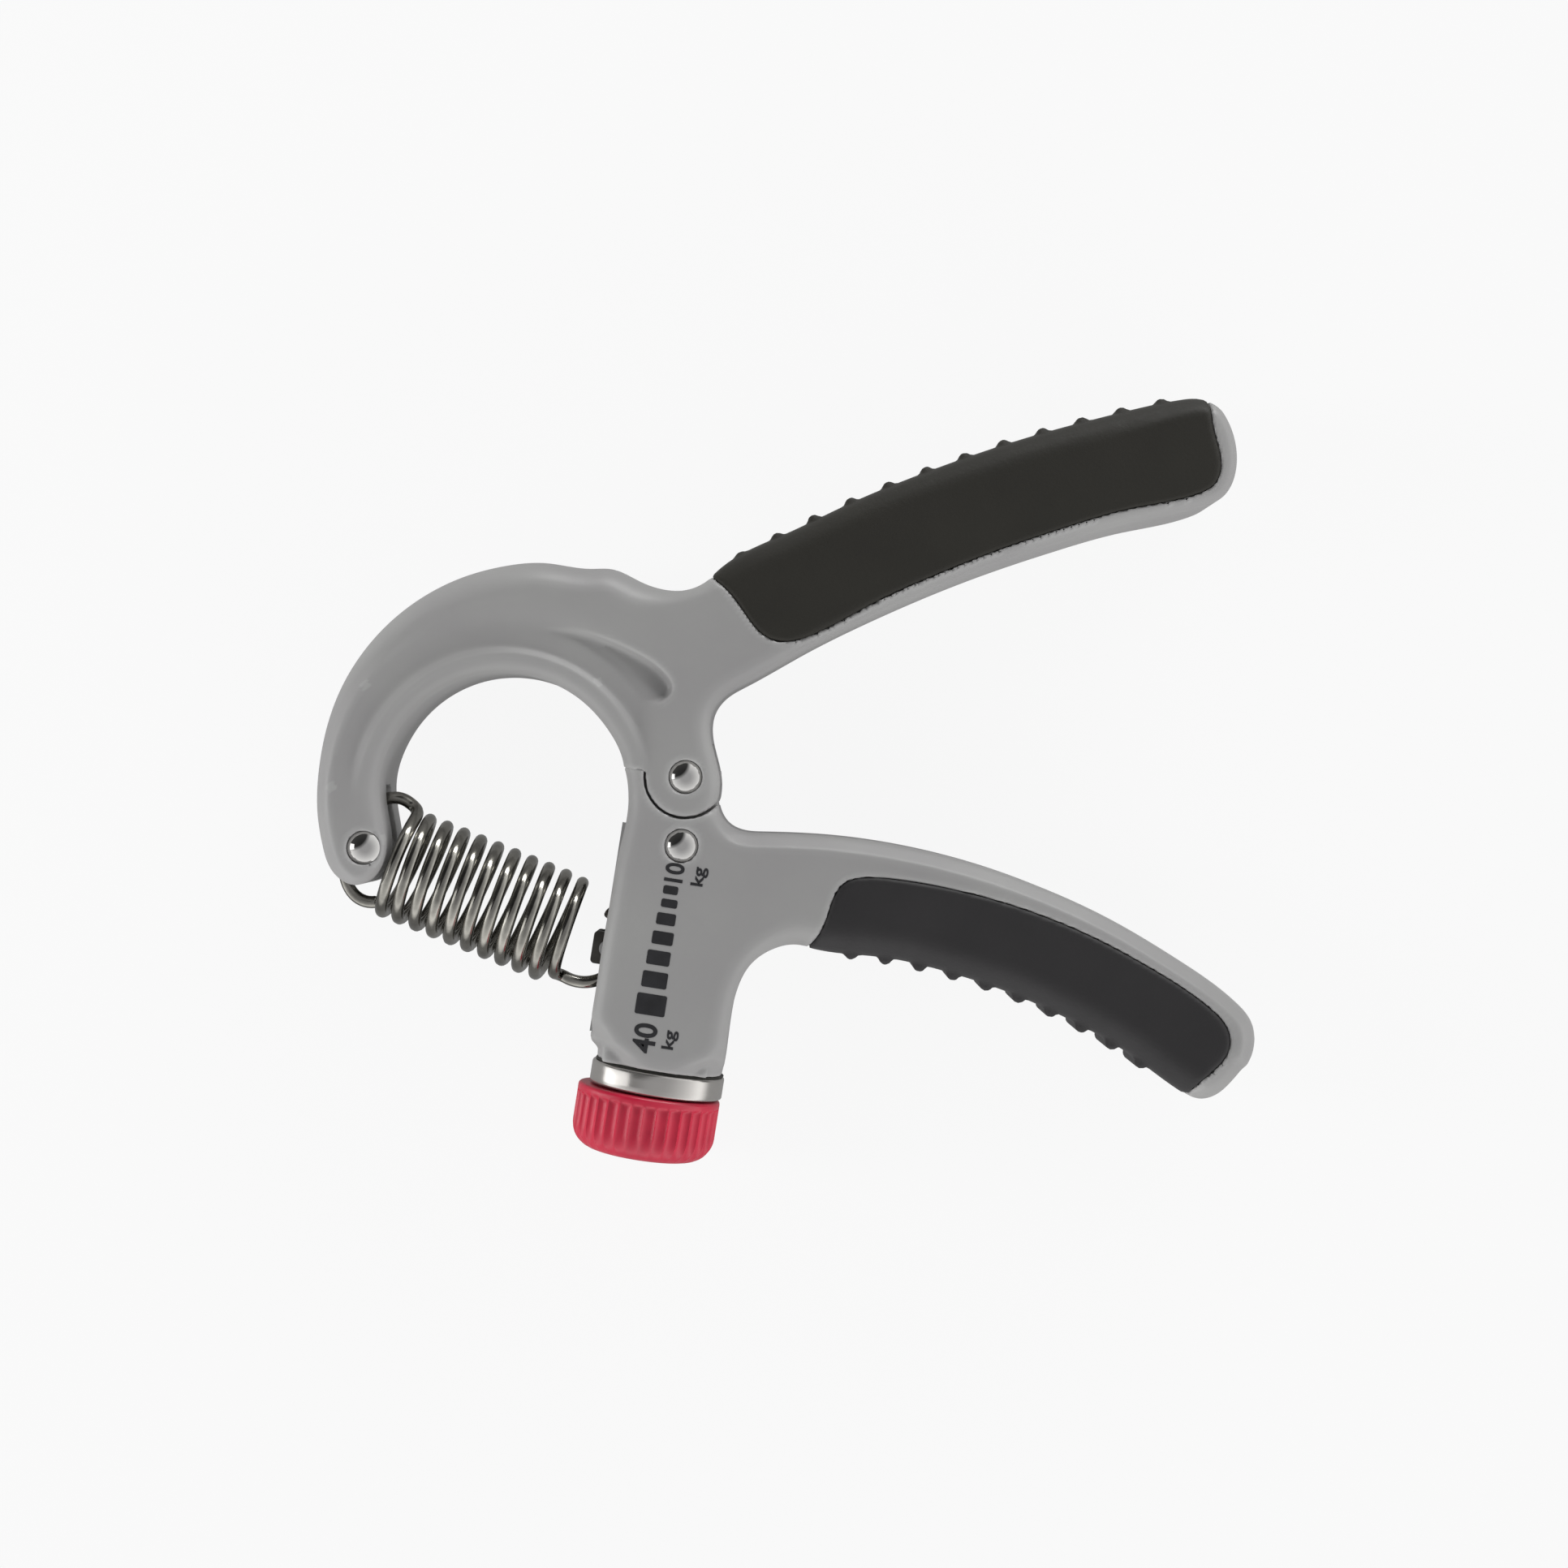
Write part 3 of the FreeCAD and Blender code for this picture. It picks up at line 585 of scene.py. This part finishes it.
SPRING_STEEL = material("spring_steel", (0.34, 0.33, 0.30), 0.17, 1.0, spread=0.30, spread_scale=300.0,
                        rough_spread=0.10, grain=1500.0, grain_depth=0.000008)
ZINC = material("zinc_plate", (0.55, 0.55, 0.54), 0.30, 1.0, spread=0.10, spread_scale=200.0,
                stretch=(1, 0.15, 1))
DARK_STEEL = material("dark_steel", (0.10, 0.095, 0.085), 0.42, 0.8, spread=0.25, spread_scale=250.0)
BRASS = material("brass", (0.60, 0.43, 0.17), 0.28, 1.0, spread=0.10, spread_scale=200.0)
NYLON = material("nylon", (0.62, 0.61, 0.57), 0.5, spread=0.04)
INK = material("scale_ink", (0.013, 0.013, 0.015), 0.55, spread=0.3, spread_scale=500.0, grain=3000.0,
               grain_depth=0.00001)


# Handles and grips

upper_handle = moulded("upper_handle_shell", upper_handle_field, (-54, -24, -11.5), (73, 67, 11.5))
finish_piece(upper_handle, "upper_handle", GREY, ["upper_handle"])
upper_grip = moulded("upper_rubber_grip", upper_grip_field, (-4, 20, -11.5), (71, 67, 11.5))
finish_piece(upper_grip, "upper_handle", UPPER_RUBBER, ["upper_grip"])
lower_handle = moulded("lower_handle_shell", lower_handle_field, (-10.5, -44, -11.5), (88, 2, 11.5))
finish_piece(lower_handle, "lower_handle", GREY, ["lower_handle"])
lower_grip = moulded("lower_rubber_grip", lower_grip_field, (18, -37, -11.5), (86, -8, 11.5))
finish_piece(lower_grip, "lower_handle", LOWER_RUBBER, ["lower_grip"])


# Rivets, collar and knob

RIVET_TOP = 10.36
RIVET_RISE = 0.72
RIVET_R = 2.3


def rivet(name, place, body, upward):
    radius = (RIVET_R ** 2 + RIVET_RISE ** 2) / (2 * RIVET_RISE)
    reach = math.asin(RIVET_R / radius)
    dome = [reach * i / 14 for i in range(15)]
    profile = [(radius * math.sin(a), RIVET_TOP - radius * (1 - math.cos(a))) for a in dome]
    low = RIVET_TOP - RIVET_RISE
    profile += [(RIVET_R - 0.05, low - 0.03), (1.5, low - 0.04), (1.5, low - 0.1), (1.5, 0.02), (0.0, 0.02)]
    side = 1 if upward else -1
    piece = closed_lathe(name + "_head", [(r, side * h) for r, h in profile], place, "Z", 64)
    return finish_piece(piece, body, CHROME, [name])


for name, place, body in (
    ("pivot_rivet", PIVOT, "upper_handle"), ("arm_rivet", ARM_RIVET, "upper_handle"),
    ("anchor_rivet", ANCHOR_RIVET, "lower_handle"),
):
    rivet(name, place, body, True)
    rivet(name + "_cap", place, body, False)

collar_profile = [
    (6.0, -42.2), (9.2, -42.2), (9.45, -42.25), (9.58, -42.38), (9.64, -42.6), (9.64, -43.4), (9.64, -44.4),
    (9.64, -45.1), (9.58, -45.28), (9.45, -45.38), (6.0, -45.38), (6.0, -42.2),
]
collar = closed_lathe("barrel_collar", collar_profile, (COLLAR_X, 0), "Y", 128)
finish_piece(collar, "lower_handle", COLLAR_CHROME, ["end_collar"])
# A dark rubber ring in the gap between the barrel and the collar: painted shade, standing in for the shadow
# in that gap.
shade_ring_profile = [
    (6.0, -41.82), (9.1, -41.82), (9.3, -41.9), (9.35, -42.0), (9.3, -42.12), (9.1, -42.19), (6.0, -42.19),
    (6.0, -41.82),
]
shade_ring = closed_lathe("collar_shade_ring", shade_ring_profile, (0.5 * (BARREL_X + COLLAR_X), 0), "Y", 96)
finish_piece(shade_ring, "lower_handle", UPPER_RUBBER)

KNOB_R = 10.35
KNOB_TOP = -45.7
KNOB_END = -55.0
KNOB_FLUTES = 36
KNOB_ROUND = 3.7       # rounding of the knob's outer end
FLUTE_DEPTH = 0.42


def fluted(radius, depth):
    """The radius round the knob, with broad hollows between narrow ridges."""
    def at(angle):
        part = (angle * KNOB_FLUTES / (2 * math.pi)) % 1.0
        return radius - depth * (1 - (2 * part - 1) ** 2) ** 0.8
    return at


knob_profile = [(1.3, -51.4), (1.3, -53.6), (3.2, -53.6)]
knob_profile += [(3.2, KNOB_END + 0.1), (3.4, KNOB_END), (5.5, KNOB_END)]
for i in range(11):
    angle = math.radians(90 * i / 10)
    ring = KNOB_R - KNOB_ROUND * (1 - math.sin(angle))
    height = KNOB_END + KNOB_ROUND * (1 - math.cos(angle))
    knob_profile.append((fluted(ring, FLUTE_DEPTH * (i / 10) ** 1.5), height))
for y in (-51.2, -50.4, -49.6, -48.8, -48.0, -47.5, -47.2):
    knob_profile.append((fluted(KNOB_R, FLUTE_DEPTH), y))
knob_profile += [(fluted(KNOB_R, 0.30), -46.98), (fluted(KNOB_R, 0.08), -46.8)]
knob_profile += [(KNOB_R, -46.66), (KNOB_R, -46.2), (10.29, -45.95), (10.13, -45.78), (9.85, -45.71)]
knob_profile += [(5.0, KNOB_TOP), (5.0, -51.4), (1.3, -51.4)]
knob = closed_lathe("fluted_knob", knob_profile, (SCREW_X, 0), "Y", KNOB_FLUTES * 12)
sharpen(knob, 50)
finish_piece(knob, "knob", RED, ["adjusting_knob"])


def threaded_rod(name, radius, y_from, y_to, pitch, depth, sides=28, rows_per_turn=8):
    """A screw: a plain rod with its surface cut by a helical groove that fades out at both ends."""
    rows = int((y_to - y_from) / pitch * rows_per_turn)
    points, faces = [(SCREW_X, y_from, 0.0)], []
    for i in range(rows + 1):
        y = y_from + (y_to - y_from) * i / rows
        fade = min(1.0, i / 6, (rows - i) / 6)
        for j in range(sides):
            angle = 2 * math.pi * j / sides
            phase = (y / pitch - j / sides) % 1.0
            r = radius - depth * fade * (1 - abs(2 * phase - 1)) * 1.2
            points.append((SCREW_X + r * math.sin(angle), y, r * math.cos(angle)))
    points.append((SCREW_X, y_to, 0.0))
    for i in range(rows):
        for j in range(sides):
            a, b = 1 + i * sides + j, 1 + i * sides + (j + 1) % sides
            faces.append((a, a + sides, b + sides, b))
    last = len(points) - 1
    for j in range(sides):
        faces.append((0, 1 + j, 1 + (j + 1) % sides))
        faces.append((last, last - sides + (j + 1) % sides, last - sides + j))
    return add_piece(name, points, faces)


screw = threaded_rod("lead_screw_thread", 2.96, -51.2, -14.8, 1.5, 0.5)
finish_piece(screw, "knob", ZINC, ["lead_screw"])


# The spring, drawn along its own axis from the arm rivet

SPRING_ANGLE = math.radians(-13.1)
WIRE_R = 0.9
COIL_R, LAST_COIL_R = 7.45, 6.5
COIL_START, COIL_PITCH, COIL_TURNS = 4.75, 2.66, 10
COIL_OFFSET = -0.85
CLOSED_PITCH = 0.8      # of the half turn between the loop and the first coil
LOOP_CENTRE, LOOP_LONG, LOOP_WIDE = (1.43, 0.0), 5.2, 7.9
HOOK_R = 5.7
HOOK_CENTRE = (33.56, -1.5)


def bridge(a, b, count):
    """Points between the end of path a and the start of path b, along both of their directions."""
    p, q = a[-1], b[0]
    span = np.linalg.norm(q - p)
    m = (a[-1] - a[-2]) / np.linalg.norm(a[-1] - a[-2]) * span * 1.25
    n = (b[1] - b[0]) / np.linalg.norm(b[1] - b[0]) * span * 1.25
    t = (np.arange(1, count) / count)[:, None]
    return (
        p * (2 * t ** 3 - 3 * t ** 2 + 1) + m * (t ** 3 - 2 * t ** 2 + t)
        + q * (3 * t ** 2 - 2 * t ** 3) + n * (t ** 3 - t ** 2)
    )


def wire_path():
    def flat_arc(centre, along, across, start_deg, end_deg, count):
        return np.array([
            (centre[0] + along * x, centre[1] + across * y, 0.0)
            for x, y in arc_points((0, 0), 1, start_deg, end_deg, count)
        ])

    loop = flat_arc(LOOP_CENTRE, LOOP_LONG, LOOP_WIDE, 290, 78, 41)
    hook = flat_arc(HOOK_CENTRE, HOOK_R, HOOK_R, 262, 434, 37)
    turn = np.radians(np.arange(-152, 360 * COIL_TURNS - 27, 10))
    taper = step_up(COIL_TURNS - 0.7, COIL_TURNS, turn / (2 * math.pi))
    radius = COIL_R + (LAST_COIL_R - COIL_R) * taper
    pitch = CLOSED_PITCH + (COIL_PITCH - CLOSED_PITCH) * (turn > 0)
    advance = COIL_START + pitch * turn / (2 * math.pi)
    coils = np.stack((advance, COIL_OFFSET - radius * np.cos(turn), -radius * np.sin(turn)), 1)
    path = np.concatenate((loop, bridge(loop, coils, 8), coils, bridge(coils, hook, 8), hook))
    along = np.array((math.cos(SPRING_ANGLE), math.sin(SPRING_ANGLE)))
    across = np.array((-along[1], along[0]))
    plan = np.array(ARM_RIVET) + path[:, :1] * along + path[:, 1:2] * across
    return np.column_stack((plan, path[:, 2]))


def swept_wire(name, path, radius, sides=16):
    """Round wire along a path, with domed ends."""
    step = np.diff(path, axis=0)
    step = step / np.linalg.norm(step, axis=1)[:, None]
    tangent = np.concatenate((step[:1], step[:-1] + step[1:], step[-1:]))
    tangent = tangent / np.linalg.norm(tangent, axis=1)[:, None]
    normal = np.cross(tangent[0], (0.0, 0.0, 1.0))
    normal = normal / np.linalg.norm(normal)
    rings = []
    dome = ((0.25, 0.5), (0.7, 0.4), (0.93, 0.2))    # each ring's radius and its distance past the end
    angles = 2 * math.pi * np.arange(sides) / sides
    for i, (place, along) in enumerate(zip(path, tangent)):
        normal = normal - along * normal.dot(along)
        normal = normal / np.linalg.norm(normal)
        side = np.cross(along, normal)
        around = np.cos(angles)[:, None] * normal + np.sin(angles)[:, None] * side
        if i == 0:
            rings += [place + around * radius * k - along * radius * d for k, d in dome]
        rings.append(place + around * radius)
        if i == len(path) - 1:
            rings += [place + around * radius * k + along * radius * d for k, d in dome[::-1]]
    points = np.concatenate(rings)
    faces = []
    for i in range(len(rings) - 1):
        for j in range(sides):
            a, b = i * sides + j, i * sides + (j + 1) % sides
            faces.append((a, b, b + sides, a + sides))
    faces.append(tuple(range(sides - 1, -1, -1)))
    faces.append(tuple(len(points) - sides + j for j in range(sides)))
    return add_piece(name, points, faces)


spring = swept_wire("spring_wire", wire_path(), WIRE_R)
spring.data.materials.append(SPRING_STEEL)
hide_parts("tension_spring", "spring_nut_hook")
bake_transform(spring)


# The load scale printed on the barrel

PRINT_LOW, PRINT_HIGH = FACE - 0.03, FACE + 0.035
BARS = (
    (-0.6, 1.5, -15.5, -16.7), (-0.6, 1.7, -17.4, -18.6), (-0.9, 1.8, -19.4, -21.1),
    (-1.1, 1.9, -22.05, -23.9), (-1.4, 1.9, -24.8, -26.85), (-1.6, 2.0, -27.8, -30.1),
    (-1.9, 2.35, -31.0, -34.0),
)


def print_bars(name):
    points, faces = [], []
    for left, right, top, low in BARS:
        corner = 0.28
        ring = []
        for cx, cy, start in (
            (right - corner, top - corner, 0), (left + corner, top - corner, 90),
            (left + corner, low + corner, 180), (right - corner, low + corner, 270),
        ):
            ring += arc_points((cx, cy), corner, start, start + 90, 5)
        first, count = len(points), len(ring)
        points += [(x, y, PRINT_LOW) for x, y in ring] + [(x, y, PRINT_HIGH) for x, y in ring]
        faces.append(tuple(first + i for i in reversed(range(count))))
        faces.append(tuple(first + count + i for i in range(count)))
        for i in range(count):
            j = (i + 1) % count
            faces.append((first + i, first + j, first + count + j, first + count + i))
    return add_piece(name, points, faces, smooth=False)


def print_text(name, text, centre, tall, wide):
    """Figures that read upwards along the barrel, tall across it and wide along it."""
    curve = bpy.data.curves.new(name, "FONT")
    curve.body = text
    curve.extrude = 0.5
    curve.offset = 0.022
    made = bpy.data.objects.new(name, curve)
    bpy.context.scene.collection.objects.link(made)
    mesh = bpy.data.meshes.new_from_object(made.evaluated_get(bpy.context.evaluated_depsgraph_get()))
    bpy.data.objects.remove(made)
    p = np.array([v.co for v in mesh.vertices])
    low, high = p.min(0), p.max(0)
    q = (p - (low + high) / 2) / (high - low)
    place = np.column_stack((centre[0] - q[:, 1] * tall, centre[1] + q[:, 0] * wide,
                             (PRINT_LOW + PRINT_HIGH) / 2 + q[:, 2] * (PRINT_HIGH - PRINT_LOW)))
    return add_piece(name, place, [tuple(f.vertices) for f in mesh.polygons], smooth=False)


finish_piece(print_bars("scale_bars"), "lower_handle", INK)
for name, text, centre, tall, wide in (
    ("scale_figure_low", "10", (0.6, -13.55), 2.7, 2.7),
    ("scale_figure_high", "40", (0.1, -37.3), 3.3, 4.2),
    ("scale_unit_low", "kg", (4.2, -13.6), 2.3, 2.7),
    ("scale_unit_high", "kg", (3.7, -37.0), 2.2, 2.7),
):
    finish_piece(print_text(name, text, centre, tall, wide), "lower_handle", INK)


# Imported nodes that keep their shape

for name, finish in {
    "guide_channel": ZINC, "slide_nut": DARK_STEEL, "nut_cross_pin": ZINC, "screw_top_bush": NYLON,
    "retaining_clip": ZINC, "end_plug": NYLON, "arm_bush": DARK_STEEL, "pivot_bush": BRASS,
    "pivot_washers": NYLON, "knob_insert": BRASS, "knob_screw": ZINC,
}.items():
    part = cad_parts[name]
    if part.material_slots:
        for slot in part.material_slots:
            slot.link = "OBJECT"
            slot.material = finish
    else:
        part.data.materials.append(finish)


# Floor, light and camera

floor_mesh = bpy.data.meshes.new("floor")
floor_points = [(-3, -3, -0.0002), (3, -3, -0.0002), (3, 3, -0.0002), (-3, 3, -0.0002)]
floor_mesh.from_pydata(floor_points, [], [(0, 1, 2, 3)])
floor = bpy.data.objects.new("floor", floor_mesh)
bpy.context.scene.collection.objects.link(floor)
paper = bpy.data.materials.new("paper")
paper.use_nodes = True
paper_shader = paper.node_tree.nodes["Principled BSDF"]
paper_shader.inputs["Base Color"].default_value = (0.05, 0.05, 0.05, 1)
paper_shader.inputs["Roughness"].default_value = 0.9
paper_shader.inputs["Specular IOR Level"].default_value = 0.0
paper_shader.inputs["Emission Color"].default_value = (1, 1, 1, 1)
paper_shader.inputs["Emission Strength"].default_value = 0.905
floor.data.materials.append(paper)
floor.visible_glossy = False


def studio_world():
    """A light tent: bright at the horizon, dimmer overhead, with a dark panel above the arm.

    Below the horizon it is dark, because the floor isn't seen in reflections.
    """
    world = bpy.data.worlds.new("studio")
    world.use_nodes = True
    bpy.context.scene.world = world
    tree = world.node_tree
    link = tree.links.new
    way = node(tree, "ShaderNodeTexCoord")
    split = node(tree, "ShaderNodeSeparateXYZ")
    link(way.outputs["Generated"], split.inputs["Vector"])
    ramp = node(tree, "ShaderNodeValToRGB")
    ramp.color_ramp.elements[0].position, ramp.color_ramp.elements[1].position = 0.15, 0.95
    ramp.color_ramp.elements[0].color = (1.0, 1.0, 1.0, 1)
    ramp.color_ramp.elements[1].color = (0.26, 0.26, 0.265, 1)
    middle = ramp.color_ramp.elements.new(0.5)
    middle.color = (0.62, 0.62, 0.62, 1)
    link(split.outputs["Z"], ramp.inputs["Fac"])
    panel = node(tree, "ShaderNodeVectorMath", operation="DOT_PRODUCT")
    link(way.outputs["Generated"], panel.inputs[0])
    panel.inputs[1].default_value = Vector((-0.66, 0.55, 0.51)).normalized()
    shade = node(tree, "ShaderNodeMapRange")
    shade.inputs["From Min"].default_value, shade.inputs["From Max"].default_value = 0.60, 0.78
    shade.inputs["To Min"].default_value, shade.inputs["To Max"].default_value = 1.0, 0.06
    link(panel.outputs["Value"], shade.inputs["Value"])
    below = node(tree, "ShaderNodeMapRange")
    below.inputs["From Min"].default_value, below.inputs["From Max"].default_value = -0.25, 0.05
    below.inputs["To Min"].default_value, below.inputs["To Max"].default_value = 0.20, 1.0
    link(split.outputs["Z"], below.inputs["Value"])
    both = node(tree, "ShaderNodeMath", operation="MULTIPLY")
    link(shade.outputs["Result"], both.inputs[0])
    link(below.outputs["Result"], both.inputs[1])
    mix = node(tree, "ShaderNodeVectorMath", operation="SCALE")
    link(ramp.outputs["Color"], mix.inputs[0])
    link(both.outputs["Value"], mix.inputs["Scale"])
    back = tree.nodes["Background"]
    link(mix.outputs["Vector"], back.inputs["Color"])
    back.inputs["Strength"].default_value = 1.35


studio_world()


def area_light(name, place, size, power, mirrored=True):
    data = bpy.data.lights.new(name, "AREA")
    data.shape = "RECTANGLE"
    data.size, data.size_y = size
    data.energy = power
    lamp = bpy.data.objects.new(name, data)
    lamp.location = place
    lamp.rotation_euler = (Vector((0, 0, 0.01)) - Vector(place)).to_track_quat("-Z", "Y").to_euler()
    lamp.visible_glossy = mirrored
    bpy.context.scene.collection.objects.link(lamp)


area_light("key", (0.15, 0.85, 0.22), (0.8, 0.20), 4.4)
area_light("left", (-0.85, -0.10, 0.22), (0.20, 0.7), 5.0, mirrored=False)
area_light("left_card", (-0.85, -0.10, 0.25), (0.30, 0.9), 1.1)
area_light("side", (0.60, -0.65, 0.28), (0.5, 0.20), 2.8, mirrored=False)

CAMERA_DISTANCE = 0.380
CAMERA_ROLL = 9.0
PICTURE_WIDTH = 0.2274
camera_data = bpy.data.cameras.new("camera")
camera_data.sensor_width = 36.0
camera_data.lens = 36.0 * CAMERA_DISTANCE / PICTURE_WIDTH
camera_data.clip_start = 0.01
camera = bpy.data.objects.new("camera", camera_data)
aim = to_row((13.9, 1.2, 0.0))
camera.location = (aim[0], aim[1], aim[2] + CAMERA_DISTANCE)
camera.rotation_euler = (0, 0, math.radians(CAMERA_ROLL))
bpy.context.scene.collection.objects.link(camera)
bpy.context.scene.camera = camera
bpy.context.scene.view_settings.view_transform = "Standard"
